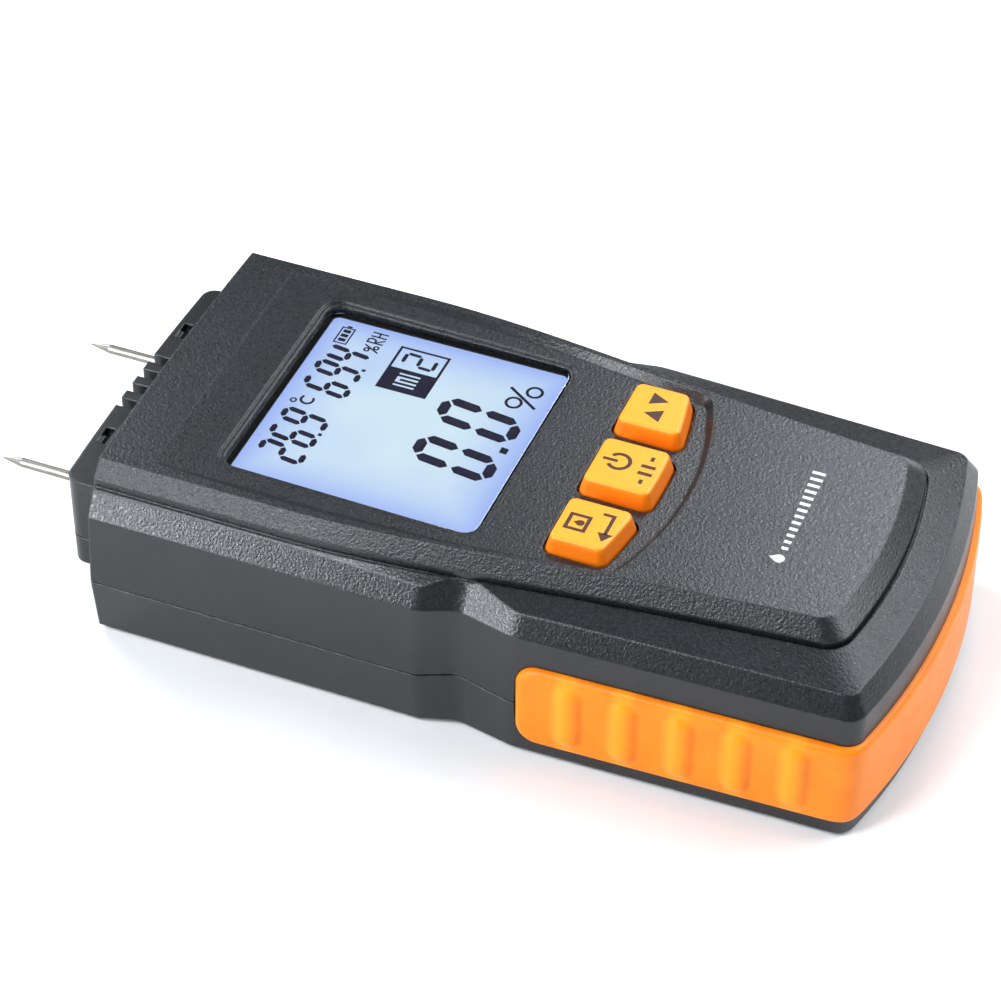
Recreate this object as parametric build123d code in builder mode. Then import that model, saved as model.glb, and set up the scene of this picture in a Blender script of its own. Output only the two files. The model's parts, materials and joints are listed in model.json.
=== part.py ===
from build123d import *
import math
import os

# Two-pin moisture meter, lying on its back: display up (+Z), electrode pins towards +Y.
# The origin is the centre of the meter's box at the back face. Lengths are in millimetres.

# ---------------------------------------------------------------- overall size
total_length = 147.0            # end of the grip band to pin tips
pin_tip_y = total_length / 2
grip_proud = 0.6                # how far the grip band stands out of the housing
bottom_end_y = grip_proud - total_length / 2
head_face_y = 49.0              # pin-side end of the two shells
head_face_bulge = 1.0           # how far that end face bows out in the middle
untrimmed_y = head_face_y + 3.0 # the plans run on to here before the end face is cut
block_face_y = 57.4             # front of the electrode block
corner_y = -68.4                # bottom corners, where the end arc starts

# ---------------------------------------------------------------- heights
parting_z = 10.8                # joint plane between rear and front shell
seam_gap = 0.3
waist_y = -8.6                  # narrowest place of the finger notch
notch_start_y = -3.0
notch_end_y = -17.6
bevel_low_z = 22.6              # lower edge of the shoulder bevel
bevel_top_z = 27.6
shoulder_edge_z = 25.4          # shoulder surface at the bevel
shoulder_root_z = 27.3          # where the shoulder's slope would end under the console
console_wall_z = 27.7           # lower edge of the console bevel
console_top_z = 30.0
deck_z = 28.6                   # key deck at the foot of the arc step
deck_start_y = 41.0             # crease where the console top starts to fall to the key deck
key_top_z = 31.2
base_chamfer = 0.9
groove_low_z = 26.2             # floor of the shadow line round the console's foot
cavity_top_z = 21.4             # ceiling of the main cavity beside the console

# half widths of the housing at the head, the waist, the grip and the bottom corners
back_halves = (31.2, 29.6, 31.3, 29.9)
parting_halves = (32.6, 30.1, 32.3, 30.6)
bevel_low_halves = (31.5, 29.2, 31.2, 29.3)
bevel_top_halves = (28.1, 25.4, 28.0, 26.0)

# ---------------------------------------------------------------- grip band
grip_low_z = 3.6
grip_high_z = 18.2
grip_start_y = -18.5
grip_recess = 1.7
rib_count = 5
rib_pitch = 8.4
first_rib_y = -26.4
rib_height = 0.8
rib_radius = 5.0
rib_straight = 7.2              # length of a rib between its round ends
fit_gap = 0.1

# ---------------------------------------------------------------- display
window_side_x = 40.0
window_side_y = 40.3
window_top_y = 33.0             # pin-side edge of the window
window_y = window_top_y - window_side_y / 2
window_radius = 2.4
window_rim = 0.8                # width of the shallow step round the window
window_rim_depth = 0.3
window_land_z = 28.1            # underside of the deck round the window
lens_size = 42.4
lens_flange = 0.8               # thickness of the lens under the deck
lens_top_z = 28.5               # its middle stands up into the window
lens_gap = 0.3                  # between the lens and the window's edge
gasket_thickness = 0.25
view_size = 38.6                # opening of the dark mask over the display glass
lcd_size = 41.6
lcd_thickness = 2.2
backlight_thickness = 2.8
frame_size = 44.4

# ---------------------------------------------------------------- board and keys
board_top_z = 20.4
board_thickness = 1.6
board_half = 24.2
board_low_y = -37.0
board_high_y = 36.5
key_row_top_y = -18.0
power_key_half = 4.95
side_key_inner_x = 9.2
side_key_outer_x = 18.3
key_arc_low_y = -28.1           # lowest point of the keys' common arc
key_arc_radius = 80.0
key_draft = 0.65                # how much a key grows from its top to the deck
key_gap = 0.35
key_flange = 1.1
key_flange_z = 27.3
deck_under_z = key_flange_z + 0.2
key_travel = 0.7
key_stem_radius = 1.6
switch_size = 6.0
switch_height = 3.2
plunger_radius = 1.7
plunger_top_z = 24.7
key_stations = {"set": 13.75, "power": 0.0, "enter": -13.75}
switch_y = -23.0

# ---------------------------------------------------------------- electrodes
block_half = 24.5
block_bulge = 0.6               # how far its front bows out in the middle
block_top_z = 22.0
block_low_z = 4.1
pin_x = 14.75
pin_z = 12.85
pin_radius = 0.75
pin_cone = 3.6
pin_root_y = 47.2
vent_pitch = 3.68
vent_count = 4
vent_width = 1.9
vent_depth = 2.4                # how far back the vents reach over the block's top
vent_low_z = 12.0
clip_x = 13.4
pocket_low_z = 22.0             # underside of the opening that the lens drops into

# ---------------------------------------------------------------- battery bay
cell_radius = 5.25
cell_length = 43.7
cell_nub_length = 0.8
cell_pitch = 11.2
cell_z = 7.7
bay_half = 17.2
bay_low_y = -61.6
bay_high_y = -12.4
tray_wall = 1.5
tray_top_z = 14.8
cover_thickness = 1.8
cover_lift = 0.2                # the cover sits this far inside the back face
cover_gap = 0.25
contact_thickness = 0.4
spring_radius = 2.6
spring_wire = 0.25
spring_turns = 3.5

# ---------------------------------------------------------------- fasteners
case_screws = [(25.2, 40.5), (-25.2, 40.5), (23.0, -57.6), (-23.0, -57.6)]
board_screws = [(19.6, -12.9), (-19.6, -12.9), (15.0, -33.6), (-15.0, -33.6)]
screw_radius = 1.3
screw_head_radius = 2.4
boss_radius = 3.4
cross_slot = 0.7                # width of a case screw's cross
rating_plate_y = 22.0           # centre of the rating plate


def keep(builder, name):
    """Label a finished piece and write it as a STEP file."""
    builder.part.label = name
    export_step(builder.part, f"parts/{name}.step")


def housing_outline(halves, end_y, corner, corner_radius=3.0):
    """The housing's plan at one height: untrimmed head, finger notch, grip, arched bottom end."""
    head, waist, grip, end = halves
    right_side = [
        (head, untrimmed_y),
        (head, notch_start_y),
        (waist, waist_y),
        (grip, notch_end_y),
        (end, corner),
    ]
    left_side = [(-x, y) for x, y in reversed(right_side)]
    with BuildSketch() as plan:
        with BuildLine():
            Polyline(*right_side)
            ThreePointArc(right_side[-1], (0, end_y), left_side[0])
            Polyline(*left_side, right_side[0])
        make_face()
        rounded = ((notch_start_y, 3.5), (waist_y, 4.5), (notch_end_y, 7.0), (corner, corner_radius))
        for y, radius in rounded:
            fillet(plan.vertices().filter_by_position(Axis.Y, y - 0.1, y + 0.1), radius)
    return plan.sketch


def console_outline(head, shoulder, end, corner, end_y, corner_radius):
    """The raised console's plan: straight at the head, a long curve to a narrower end."""
    with BuildSketch() as plan:
        with BuildLine():
            Polyline((-head, untrimmed_y), (head, untrimmed_y), (head, 20.0))
            Spline(
                (head, 20.0), (shoulder, -18.4), (end, corner),
                tangents=[(0, -1), (-0.085, -1)],
            )
            ThreePointArc((end, corner), (0, end_y), (-end, corner))
            Spline(
                (-end, corner), (-shoulder, -18.4), (-head, 20.0),
                tangents=[(-0.085, 1), (0, 1)],
            )
            Line((-head, 20.0), (-head, untrimmed_y))
        make_face()
        fillet(plan.vertices().filter_by_position(Axis.Y, corner - 0.1, corner + 0.1), corner_radius)
    return plan.sketch


def half_plan(points):
    """A symmetric closed plan from the points of its +X side."""
    with BuildSketch() as plan:
        with BuildLine():
            Polyline(*points, *[(-x, y) for x, y in reversed(points)], close=True)
        make_face()
    return plan.sketch


def key_outline(name, grow):
    """One key's plan: straight at the display side, on the common arc at the other side."""
    if name == "power":
        left, right = -power_key_half, power_key_half
    elif name == "set":
        left, right = side_key_inner_x, side_key_outer_x
    else:
        left, right = -side_key_outer_x, -side_key_inner_x
    arc_centre_y = key_arc_low_y + key_arc_radius
    radius = key_arc_radius + grow
    left, right, top = left - grow, right + grow, key_row_top_y + grow

    def on_arc(x):
        return (x, arc_centre_y - math.sqrt(radius**2 - x**2))

    with BuildSketch() as plan:
        with BuildLine():
            Polyline((left, top), (right, top), on_arc(right))
            ThreePointArc(on_arc(right), on_arc((left + right) / 2), on_arc(left))
            Line(on_arc(left), (left, top))
        make_face()
        fillet(plan.vertices(), 1.1 + max(grow, 0) * 0.5)
    return plan.sketch


def grip_block(outward, grow, end_radius):
    """Everything below one plan in the grip band's height, with round corners at its two starts."""
    halves = tuple(half + outward for half in parting_halves)
    outline = housing_outline(halves, bottom_end_y - outward, corner_y - outward * 0.6)
    low_z, high_z = grip_low_z - grow, grip_high_z + grow
    start_y = grip_start_y + grow
    with BuildPart() as block:
        with BuildSketch(Plane.XY.offset(low_z)):
            add(outline)
            with Locations((0, start_y + 100)):
                Rectangle(200, 200, mode=Mode.SUBTRACT)
        extrude(amount=high_z - low_z)
        fillet(block.faces().sort_by(Axis.Y)[-1].edges().filter_by(Axis.X), end_radius)
    return block.part


def lead(points, radius, wire_radius=0.45):
    """A thin insulated wire along straight runs joined by arcs."""
    with BuildPart() as wire:
        with BuildLine() as path:
            FilletPolyline(*points, radius=radius)
        with BuildSketch(Plane(origin=path.line @ 0, z_dir=path.line % 0)):
            Circle(wire_radius)
        sweep(path=path.line)
    return wire.part


def head_block_plan():
    """The electrode block's plan, its front bowed out a little."""
    face = block_face_y - block_bulge
    with BuildSketch() as plan:
        with BuildLine():
            Polyline((block_half, face), (block_half, 44.0), (-block_half, 44.0), (-block_half, face))
            ThreePointArc((-block_half, face), (0, block_face_y), (block_half, face))
        make_face()
        fillet(plan.vertices().group_by(Axis.Y)[-1], 2.2)
    return plan.sketch


def deck_plan(side_inset, step_inset, corner_radius):
    """The sunk key deck's plan: between the console's crests, closed by the arc step."""
    corner = (20.9 - side_inset * 0.6, -28.9 + step_inset)
    right_side = [
        (24.6 - side_inset * 0.4, deck_start_y + 0.6),
        (25.1 - side_inset, 14.0),
        (24.3 - side_inset, -3.0),
        corner,
    ]
    left_side = [(-x, y) for x, y in reversed(right_side)]
    with BuildSketch() as plan:
        with BuildLine():
            Polyline(*right_side)
            ThreePointArc(corner, (0, -33.2 + step_inset), left_side[0])
            Polyline(*left_side, right_side[0])
        make_face()
        fillet(plan.vertices().group_by(Axis.Y)[0], corner_radius)
    return plan.sketch


# plans that several pieces share
console_foot = console_outline(28.4, 25.1, 20.6, -62.4, -64.9, 4.0)
console_crest = console_outline(26.2, 22.9, 18.4, -60.0, -62.3, 3.0)
groove_plan = console_outline(28.85, 25.55, 21.05, -62.6, -65.35, 4.3)
inner_plan = half_plan([
    (29.4, 46.6),
    (29.4, -0.5),
    (27.0, -7.0),
    (27.0, -14.0),
    (27.6, -22.0),
    (26.6, -64.0),
    (14.0, -67.4),
])
console_hollow = half_plan([(23.2, 45.0), (23.2, -9.0), (20.2, -37.0)])
head_hollow = half_plan([(22.3, 55.0), (22.3, 43.0)])
deck_crest = deck_plan(0.0, 0.0, 3.6)
deck_floor = deck_plan(1.5, 1.0, 3.0)
deck_normal = (0, deck_z - console_top_z, deck_start_y - key_arc_low_y)
deck_plane = Plane((0, deck_start_y, console_top_z - 0.03), x_dir=(1, 0, 0), z_dir=deck_normal)

grip_floor_halves = tuple(half - grip_recess for half in parting_halves)
grip_floor = housing_outline(grip_floor_halves, bottom_end_y + grip_recess, corner_y + grip_recess * 0.6)
block_plan = head_block_plan()
back_plan = housing_outline(back_halves, bottom_end_y + 0.6, corner_y + 0.4)
parting_plan = housing_outline(parting_halves, bottom_end_y, corner_y)
wall_top_plan = housing_outline(bevel_low_halves, bottom_end_y + 0.9, corner_y + 0.3)
bevel_plan = housing_outline(bevel_top_halves, bottom_end_y + 3.8, corner_y + 2.6, 1.4)
shoulder_edge_plan = console_outline(29.9, 29.8, 28.4, -67.8, -71.9, 3.0)
shoulder_root_plan = console_outline(27.6, 24.0, 19.5, -61.6, -63.7, 4.0)
board_plan = half_plan([(board_half, board_high_y), (board_half, -8.0), (22.6, board_low_y)])
key_openings = [key_outline(key, key_draft + key_gap) for key in key_stations]

os.makedirs("parts", exist_ok=True)


# what is cut off to leave the bowed end face at the head
with BuildPart() as head_trim:
    with BuildSketch():
        with BuildLine():
            ThreePointArc((-36, head_face_y), (0, head_face_y + head_face_bulge), (36, head_face_y))
            Polyline((36, head_face_y), (36, 60), (-36, 60), (-36, head_face_y))
        make_face()
    extrude(amount=40)


# ================================================================ front shell
# the shoulder's surface: everything below it is kept
with BuildPart() as crown:
    with BuildSketch():
        Rectangle(200, 200)
    extrude(amount=shoulder_edge_z)
    with BuildSketch(Plane.XY.offset(shoulder_edge_z)):
        add(shoulder_edge_plan)
    with BuildSketch(Plane.XY.offset(shoulder_root_z)):
        add(shoulder_root_plan)
    loft(ruled=True)

# what the two shells give up to the grip band
grip_bed_block = grip_block(6.0, fit_gap, 3.5)
with BuildPart() as grip_bed:
    add(grip_bed_block)
    with BuildSketch(Plane.XY.offset(grip_low_z - 5)):
        add(grip_floor)
    extrude(amount=30, mode=Mode.SUBTRACT)

with BuildPart() as front_shell:
    # side walls with draft, and the shoulder bevel above them
    with BuildSketch(Plane.XY.offset(parting_z + seam_gap / 2)):
        add(parting_plan)
    with BuildSketch(Plane.XY.offset(bevel_low_z)):
        add(wall_top_plan)
    loft(ruled=True)
    with BuildSketch(Plane.XY.offset(bevel_low_z)):
        add(wall_top_plan)
    with BuildSketch(Plane.XY.offset(bevel_top_z)):
        add(bevel_plan)
    loft(ruled=True)
    add(crown.part, mode=Mode.INTERSECT)
    # the console stands in a slightly wider pocket, which leaves a shadow line round its foot
    with BuildSketch(Plane.XY.offset(groove_low_z)):
        add(groove_plan)
    extrude(amount=console_wall_z - groove_low_z, mode=Mode.SUBTRACT)
    with BuildSketch(Plane.XY.offset(groove_low_z)):
        add(console_foot)
    extrude(amount=console_wall_z - groove_low_z)
    with BuildSketch(Plane.XY.offset(console_wall_z)):
        add(console_foot)
    with BuildSketch(Plane.XY.offset(console_top_z)):
        add(console_crest)
    loft(ruled=True)
    add(head_trim.part, mode=Mode.SUBTRACT)
    # upper half of the electrode block
    with BuildSketch(Plane.XY.offset(parting_z + seam_gap / 2)):
        add(block_plan)
    extrude(amount=block_top_z - parting_z - seam_gap / 2)
    # hollows: main cavity, console cavity, electrode block, rebate for the rear shell's lip
    with BuildSketch(Plane.XY.offset(parting_z)):
        add(inner_plan)
    extrude(amount=cavity_top_z - parting_z, mode=Mode.SUBTRACT)
    with BuildSketch(Plane.XY.offset(cavity_top_z - 0.4)):
        add(console_hollow)
    extrude(amount=deck_under_z - cavity_top_z + 0.4, mode=Mode.SUBTRACT)
    with BuildSketch(Plane.XY.offset(parting_z)):
        add(head_hollow)
    extrude(amount=block_top_z - 2.1 - parting_z, mode=Mode.SUBTRACT)
    with BuildSketch(Plane.XY.offset(parting_z)):
        add(inner_plan)
        offset(amount=1.15)
    extrude(amount=1.8, mode=Mode.SUBTRACT)
    # the tray of the key deck: almost nothing at the head, deepest at the arc step
    with BuildSketch(Plane.XY.offset(console_top_z + 0.05)):
        add(deck_crest)
    with BuildSketch(deck_plane):
        add(deck_floor.moved(Location((0, -deck_start_y))))
    loft(ruled=True, mode=Mode.SUBTRACT)
    # shallow step round the display window, the window, and the pocket below it for the lens
    with BuildSketch(deck_plane.offset(-window_rim_depth)):
        with Locations((0, window_y - deck_start_y)):
            RectangleRounded(
                window_side_x + 2 * window_rim, window_side_y + 2 * window_rim, window_radius + window_rim,
            )
    extrude(amount=3, mode=Mode.SUBTRACT)
    with BuildSketch(Plane.XY.offset(pocket_low_z)):
        with Locations((0, window_y)):
            RectangleRounded(window_side_x, window_side_y, window_radius)
    extrude(amount=20, mode=Mode.SUBTRACT)
    with BuildSketch(Plane.XY.offset(pocket_low_z)):
        with Locations((0, window_y)):
            RectangleRounded(lens_size + 0.4, lens_size + 0.4, 1.5)
    extrude(amount=window_land_z - pocket_low_z, mode=Mode.SUBTRACT)
    with BuildSketch(Plane.XY.offset(deck_under_z - 1.0)):
        add(key_openings)
    extrude(amount=6, mode=Mode.SUBTRACT)
    # bed of the grip band
    add(grip_bed.part, mode=Mode.SUBTRACT)
    # bosses for the case screws and posts for the board
    with BuildSketch(Plane.XY.offset(parting_z + seam_gap / 2)):
        with Locations(*case_screws):
            Circle(boss_radius)
    extrude(amount=cavity_top_z + 0.2 - parting_z)
    with BuildSketch(Plane.XY.offset(board_top_z)):
        with Locations(*board_screws):
            Circle(2.3)
    extrude(amount=deck_under_z + 0.2 - board_top_z)
    with BuildSketch(Plane.XY.offset(parting_z)):
        with Locations(*case_screws):
            Circle(screw_radius + 0.05)
    extrude(amount=8.4, mode=Mode.SUBTRACT)
    with BuildSketch(Plane.XY.offset(board_top_z - 0.1)):
        with Locations(*board_screws):
            Circle(0.85)
    extrude(amount=5.0, mode=Mode.SUBTRACT)
    # vent slots over the front edge of the block, and the two catch windows beside them
    for slot in range(vent_count):
        with Locations(((slot - (vent_count - 1) / 2) * vent_pitch, block_face_y, vent_low_z)):
            Box(
                vent_width, 2 * (vent_depth + block_bulge), 11.0,
                align=(Align.CENTER, Align.CENTER, Align.MIN), mode=Mode.SUBTRACT,
            )
    for side in (-1, 1):
        with Locations((side * clip_x, block_face_y - 1.9, block_top_z)):
            Box(3.6, 1.5, 2.4, mode=Mode.SUBTRACT)
        with Locations((side * clip_x - 0.9, block_face_y - 1.5, block_top_z - 0.9)):
            Box(1.8, 0.8, 1.5)
        # hole through which the electrode passes
        with BuildSketch(Plane(origin=(side * pin_x, 50, pin_z), z_dir=(0, 1, 0))):
            Circle(pin_radius + 0.2)
        extrude(amount=12, mode=Mode.SUBTRACT)
keep(front_shell, "front_shell")


# ================================================================ rear shell
with BuildPart() as rear_shell:
    with BuildSketch():
        add(back_plan)
    with BuildSketch(Plane.XY.offset(parting_z - seam_gap / 2)):
        add(parting_plan)
    loft(ruled=True)
    add(head_trim.part, mode=Mode.SUBTRACT)
    chamfer(rear_shell.faces().sort_by(Axis.Z)[0].edges(), base_chamfer)
    with BuildSketch(Plane.XY.offset(block_low_z)):
        add(block_plan)
    extrude(amount=parting_z - seam_gap / 2 - block_low_z)
    chamfer(rear_shell.faces().filter_by(Plane.XY).group_by(Axis.Z)[1].edges().group_by(Axis.Y)[-1], 1.6)
    # main hollow, open hollow of the block, lip that enters the front shell
    with BuildSketch(Plane.XY.offset(2.0)):
        add(inner_plan)
    extrude(amount=12, mode=Mode.SUBTRACT)
    with BuildSketch(Plane.XY.offset(block_low_z + 2.0)):
        add(head_hollow)
    extrude(amount=12, mode=Mode.SUBTRACT)
    with BuildSketch(Plane.XY.offset(parting_z - 1.5)):
        add(inner_plan)
        offset(amount=1.0)
        add(inner_plan, mode=Mode.SUBTRACT)
        with Locations((0, 50)):
            Rectangle(46.4, 10, mode=Mode.SUBTRACT)
    extrude(amount=3.0)
    add(grip_bed.part, mode=Mode.SUBTRACT)
    # battery tray with its bay open to the back
    with BuildSketch(Plane.XY.offset(1.0)):
        with Locations((0, (bay_low_y + bay_high_y) / 2)):
            Rectangle(2 * (bay_half + tray_wall), bay_high_y - bay_low_y + 2 * tray_wall)
    extrude(amount=tray_top_z - 1.0)
    with BuildSketch():
        with Locations((0, (bay_low_y + bay_high_y) / 2)):
            Rectangle(2 * bay_half, bay_high_y - bay_low_y)
    extrude(amount=tray_top_z - tray_wall, mode=Mode.SUBTRACT)
    # slots where the cover's tabs pass the end wall, thumb scoop at the other end
    for side in (-1, 1):
        with Locations((side * 9.0, bay_low_y - 1.0, 3.0)):
            Box(5.6, 2.6, 2.0, mode=Mode.SUBTRACT)
    with Locations((0, bay_high_y + 1.2, -3.2)):
        Sphere(4.6, mode=Mode.SUBTRACT)
    # screw bosses
    with BuildSketch(Plane.XY.offset(1.5)):
        with Locations(*case_screws):
            Circle(boss_radius)
    extrude(amount=parting_z - seam_gap / 2 - 1.5)
    with Locations(*[(x, y, 0) for x, y in case_screws]):
        CounterBoreHole(screw_radius + 0.15, screw_head_radius + 0.3, 4.4, depth=30)
    # shallow bed of the rating plate
    with BuildSketch():
        with Locations((0, rating_plate_y)):
            RectangleRounded(40.4, 26.4, 2.2)
    extrude(amount=0.3, mode=Mode.SUBTRACT)
keep(rear_shell, "rear_shell")


# ================================================================ grip band
# a finger rib: a bar with round ends, most of it buried in the band
with BuildPart() as rib_bar:
    with BuildSketch(Plane.XZ):
        with BuildLine():
            Line((0, rib_straight / 2 + rib_radius), (0, -rib_straight / 2 - rib_radius))
            RadiusArc((0, -rib_straight / 2 - rib_radius), (rib_radius, -rib_straight / 2), -rib_radius)
            Line((rib_radius, -rib_straight / 2), (rib_radius, rib_straight / 2))
            RadiusArc((rib_radius, rib_straight / 2), (0, rib_straight / 2 + rib_radius), -rib_radius)
        make_face()
        Rectangle(2 * rib_radius, rib_straight + 5.2, mode=Mode.INTERSECT)
    revolve(axis=Axis.Z)

# five ribs on each side, each a little further in because the grip tapers
rib_x = parting_halves[2] + grip_proud + rib_height - rib_radius
rib_z = (grip_low_z + grip_high_z) / 2
grip_taper = (parting_halves[2] - parting_halves[3]) / (notch_end_y - corner_y)
rib_places = []
for rib in range(rib_count):
    rib_y = first_rib_y - rib * rib_pitch
    inward = grip_taper * (notch_end_y - rib_y)
    rib_places += [(rib_x - inward, rib_y, rib_z), (inward - rib_x, rib_y, rib_z)]

grip_band_block = grip_block(grip_proud, 0.0, 3.4)
with BuildPart() as grip_band:
    add(grip_band_block)
    rims = grip_band.faces().filter_by(Plane.XY).edges() - grip_band.faces().sort_by(Axis.Y)[-1].edges()
    fillet(rims, 1.0)
    with Locations(*rib_places):
        add(rib_bar.part)
    with BuildSketch(Plane.XY.offset(grip_low_z - 5)):
        add(grip_floor)
        offset(amount=fit_gap)
    extrude(amount=30, mode=Mode.SUBTRACT)
keep(grip_band, "grip_band")


# ================================================================ display
lens_low_z = window_land_z - 0.05 - lens_flange
gasket_low_z = lens_low_z - gasket_thickness
lcd_low_z = gasket_low_z - lcd_thickness
backlight_low_z = lcd_low_z - 0.1 - backlight_thickness

with BuildPart() as display_window:
    with BuildSketch(Plane.XY.offset(lens_low_z)):
        with Locations((0, window_y)):
            RectangleRounded(lens_size, lens_size, 1.3)
    extrude(amount=lens_flange)
    with BuildSketch(Plane.XY.offset(lens_low_z)):
        with Locations((0, window_y)):
            RectangleRounded(
                window_side_x - 2 * lens_gap, window_side_y - 2 * lens_gap, window_radius - lens_gap,
            )
    extrude(amount=lens_top_z - lens_low_z)
    fillet(display_window.faces().sort_by(Axis.Z)[-1].edges(), 0.25)
keep(display_window, "display_window")

with BuildPart() as window_gasket:
    with BuildSketch(Plane.XY.offset(gasket_low_z)):
        with Locations((0, window_y)):
            Rectangle(lcd_size, lcd_size)
            RectangleRounded(view_size, view_size, 1.0, mode=Mode.SUBTRACT)
    extrude(amount=gasket_thickness)
keep(window_gasket, "window_gasket")

# two bonded glass plates, the lower one longer so that its contacts lie bare
with BuildPart() as lcd_panel:
    with Locations((0, window_y, lcd_low_z)):
        Box(lcd_size, lcd_size, lcd_thickness / 2, align=(Align.CENTER, Align.CENTER, Align.MIN))
    with Locations((0, window_y, lcd_low_z + lcd_thickness / 2)):
        Box(lcd_size, lcd_size - 1.2, lcd_thickness / 2, align=(Align.CENTER, Align.CENTER, Align.MIN))
keep(lcd_panel, "lcd_panel")

with BuildPart() as lcd_backlight:
    with Locations((0, window_y, backlight_low_z)):
        Box(lcd_size - 0.6, 36.0, backlight_thickness, align=(Align.CENTER, Align.CENTER, Align.MIN))
    chamfer(lcd_backlight.edges().filter_by(Axis.Z), 0.8)
keep(lcd_backlight, "lcd_backlight")

with BuildPart() as lcd_frame:
    with BuildSketch(Plane.XY.offset(board_top_z + 0.05)):
        with Locations((0, window_y)):
            RectangleRounded(frame_size, frame_size, 1.0)
            Rectangle(lcd_size + 0.4, lcd_size + 0.4, mode=Mode.SUBTRACT)
    extrude(amount=gasket_low_z - board_top_z - 0.25)
    # side ledges that carry the backlight
    for side in (-1, 1):
        with Locations((side * 20.4, window_y, board_top_z + 0.05)):
            Box(1.8, lcd_size + 0.6, 0.9, align=(Align.CENTER, Align.CENTER, Align.MIN))
keep(lcd_frame, "lcd_frame")

# striped rubber strips that join the glass to the board
with BuildPart() as contact_strips:
    for side in (-1, 1):
        with Locations((0, window_y + side * 19.4, board_top_z)):
            Box(36.0, 1.8, lcd_low_z - board_top_z, align=(Align.CENTER, Align.CENTER, Align.MIN))
keep(contact_strips, "contact_strips")


# ================================================================ main board
board_low_z = board_top_z - board_thickness
with BuildPart() as main_board:
    with BuildSketch(Plane.XY.offset(board_low_z)):
        add(board_plan)
        with Locations(*board_screws):
            Circle(1.0, mode=Mode.SUBTRACT)
    extrude(amount=board_thickness)
keep(main_board, "main_board")

with BuildPart() as control_chip:
    with Locations((0, 12.0, board_low_z)):
        Box(10.0, 10.0, 1.4, align=(Align.CENTER, Align.CENTER, Align.MAX))
    for pin in range(11):
        offset_along = (pin - 5) * 0.8
        for side in (-1, 1):
            with Locations((side * 5.6, 12.0 + offset_along, board_low_z)):
                Box(1.4, 0.35, 0.5, align=(Align.CENTER, Align.CENTER, Align.MAX))
            with Locations((offset_along, 12.0 + side * 5.6, board_low_z)):
                Box(0.35, 1.4, 0.5, align=(Align.CENTER, Align.CENTER, Align.MAX))
keep(control_chip, "control_chip")

with BuildPart() as capacitors:
    with BuildSketch(Plane.XY.offset(board_low_z)):
        with Locations((15.0, 20.0), (-15.0, 24.0)):
            Circle(2.5)
    extrude(amount=-6.5)
    chamfer(capacitors.faces().sort_by(Axis.Z)[:2].edges(), 0.3)
keep(capacitors, "capacitors")

with BuildPart() as crystal:
    with BuildSketch(Plane.XY.offset(board_low_z)):
        with Locations((-14.0, 6.0)):
            SlotOverall(10.8, 4.4, rotation=90)
    extrude(amount=-3.4)
keep(crystal, "crystal")

with BuildPart() as chip_resistors:
    with Locations((0, 0, board_low_z - 0.25)):
        with GridLocations(3.2, 4.6, 5, 2):
            Box(2.0, 1.2, 0.5)
keep(chip_resistors, "chip_resistors")

with BuildPart() as tact_switches:
    with Locations(*[(x, switch_y, board_top_z) for x in key_stations.values()]):
        Box(switch_size, switch_size, switch_height, align=(Align.CENTER, Align.CENTER, Align.MIN))
    with Locations(*[(x, switch_y, board_top_z + 1.0) for x in key_stations.values()]):
        Cylinder(
            plunger_radius + 0.06, switch_height,
            align=(Align.CENTER, Align.CENTER, Align.MIN), mode=Mode.SUBTRACT,
        )
keep(tact_switches, "tact_switches")


# ================================================================ keys
def make_key(name):
    """One key cap: tapered top, straight skirt, flange below the deck, stem to its switch."""
    top_plan = key_outline(name, 0.0)
    skirt_plan = key_outline(name, key_draft)
    flange_plan = key_outline(name, key_draft + key_flange)
    with BuildPart() as cap:
        with BuildSketch(Plane.XY.offset(key_flange_z - 0.5)):
            add(skirt_plan)
        extrude(amount=deck_z - key_flange_z + 0.5)
        with BuildSketch(Plane.XY.offset(deck_z)):
            add(skirt_plan)
        with BuildSketch(Plane.XY.offset(key_top_z)):
            add(top_plan)
        loft(ruled=True)
        fillet(cap.faces().sort_by(Axis.Z)[-1].edges(), 0.45)
        with BuildSketch(Plane.XY.offset(key_flange_z - 1.0)):
            add(flange_plan)
        extrude(amount=1.0)
        with BuildSketch(Plane.XY.offset(plunger_top_z)):
            with Locations((key_stations[name], switch_y)):
                Circle(key_stem_radius)
        extrude(amount=key_flange_z - 0.5 - plunger_top_z)
    return cap


def make_plunger(name):
    """The moving button of one switch, with its collar inside the housing."""
    with BuildPart() as plunger:
        with BuildSketch(Plane.XY.offset(board_top_z + 1.0 + key_travel + 0.2)):
            with Locations((key_stations[name], switch_y)):
                Circle(plunger_radius)
        extrude(amount=plunger_top_z - board_top_z - 1.2 - key_travel)
    return plunger


for key in key_stations:
    keep(make_key(key), f"{key}_button")
    keep(make_plunger(key), f"{key}_plunger")


# ================================================================ electrodes and sensor
def along_pin(side, y):
    """A plane across one electrode's axis at a height along it."""
    return Plane(origin=(side * pin_x, y, pin_z), x_dir=(1, 0, 0), z_dir=(0, 1, 0))


def make_pin(side):
    """A ground steel needle with a blunt-tipped cone."""
    with BuildPart() as pin:
        with BuildSketch(along_pin(side, pin_root_y)):
            Circle(pin_radius)
        extrude(amount=pin_tip_y - pin_cone - pin_root_y)
        with BuildSketch(along_pin(side, pin_tip_y - pin_cone)):
            Circle(pin_radius)
        with BuildSketch(along_pin(side, pin_tip_y)):
            Circle(0.08)
        loft(ruled=True)
    return pin


keep(make_pin(-1), "electrode_pin_left")
keep(make_pin(1), "electrode_pin_right")

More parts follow.
